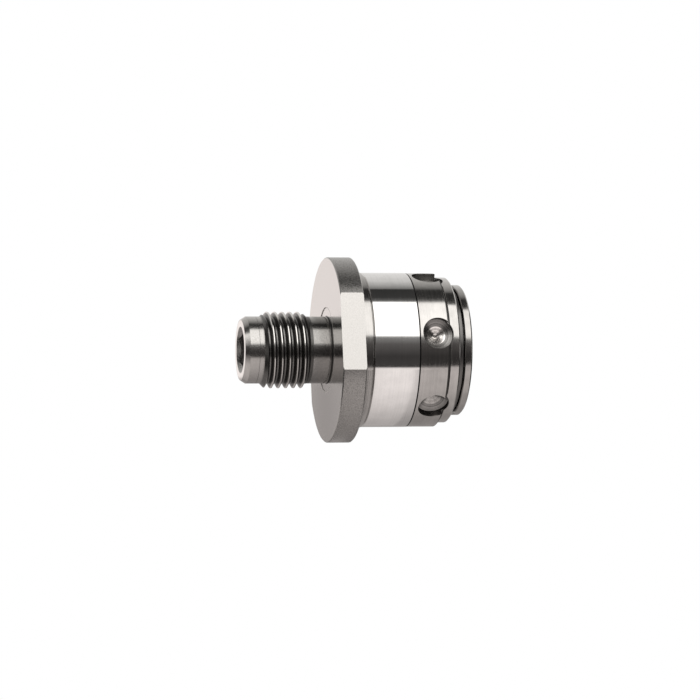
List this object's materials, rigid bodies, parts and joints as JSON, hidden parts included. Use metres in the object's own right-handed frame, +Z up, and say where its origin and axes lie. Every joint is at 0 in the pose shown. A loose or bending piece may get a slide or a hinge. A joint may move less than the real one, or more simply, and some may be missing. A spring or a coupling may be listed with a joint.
{
  "type": "drill chuck",
  "caption": "Three-jaw drill chuck with a threaded hollow shank, a flange with wrench flats and a drive ring turned by tommy bar.",
  "frame": {"origin": "on the chuck axis, in the plane of the flange's rear face that seats on the spindle nose", "axes": "+X along the chuck axis towards the jaws, +Z up, wrench flats face -Y and +Y"},
  "size_m": [0.0461, 0.035, 0.0384],
  "materials": {
    "turned_steel": "fine turned, bright",
    "ground_steel": "cylindrically ground, near mirror",
    "ring_steel": "turned, satin",
    "collar_steel": "turned, semi-bright",
    "nut_steel": "machined, hardened",
    "hardened_steel": "hardened and ground",
    "bearing_steel": "polished",
    "spring_steel": "phosphated spring steel",
    "black_steel": "black oxide",
    "cage_brass": "pressed brass",
    "bush_bronze": "sintered bronze",
    "rubber": "moulded nitrile"
  },
  "bodies": {
    "chuck": {"arbor": "turned_steel", "spacer_ring": "ground_steel", "arbor_o_ring": "rubber", "drive_pins": "hardened_steel", "chuck_body": "ground_steel", "lock_screw": "black_steel", "lock_washer": "black_steel", "rear_race": "bearing_steel", "friction_washer": "spring_steel", "circlip": "spring_steel", "nose_collar": "collar_steel"},
    "ring": {"drive_ring": "ring_steel", "nose_bush": "bush_bronze", "nut_half_upper": "nut_steel", "nut_half_lower": "nut_steel", "nut_dowels": "hardened_steel", "front_race": "bearing_steel"},
    "bearing": {"ball_cage": "cage_brass", "bearing_balls": "bearing_steel"},
    "jaw_1": {"jaw_1": "hardened_steel"},
    "jaw_2": {"jaw_2": "hardened_steel"},
    "jaw_3": {"jaw_3": "hardened_steel"}
  },
  "joints": [
    {"name": "ring_turn", "type": "hinge", "parent": "chuck", "child": "ring", "pos_m": [0.0205, 0, 0], "axis": [-1, 0, 0], "range_deg": [0, 2160]},
    {"name": "bearing_roll", "type": "hinge", "parent": "chuck", "child": "bearing", "pos_m": [0.01525, 0, 0], "axis": [-1, 0, 0], "range_deg": [0, 1080]},
    {"name": "jaw_1_slide", "type": "slide", "parent": "chuck", "child": "jaw_1", "axis": [0.9511, 0, -0.309], "range_m": [0, 0.009]},
    {"name": "jaw_2_slide", "type": "slide", "parent": "chuck", "child": "jaw_2", "axis": [0.9511, 0.2676, 0.1545], "range_m": [0, 0.009]},
    {"name": "jaw_3_slide", "type": "slide", "parent": "chuck", "child": "jaw_3", "axis": [0.9511, -0.2676, 0.1545], "range_m": [0, 0.009]}
  ],
  "couplings": [
    {"joint": "bearing_roll", "follows": "ring_turn", "ratio": 0.5},
    {"joint": "jaw_1_slide", "follows": "ring_turn", "m_per_rad": 0.00023873},
    {"joint": "jaw_2_slide", "follows": "ring_turn", "m_per_rad": 0.00023873},
    {"joint": "jaw_3_slide", "follows": "ring_turn", "m_per_rad": 0.00023873}
  ]
}
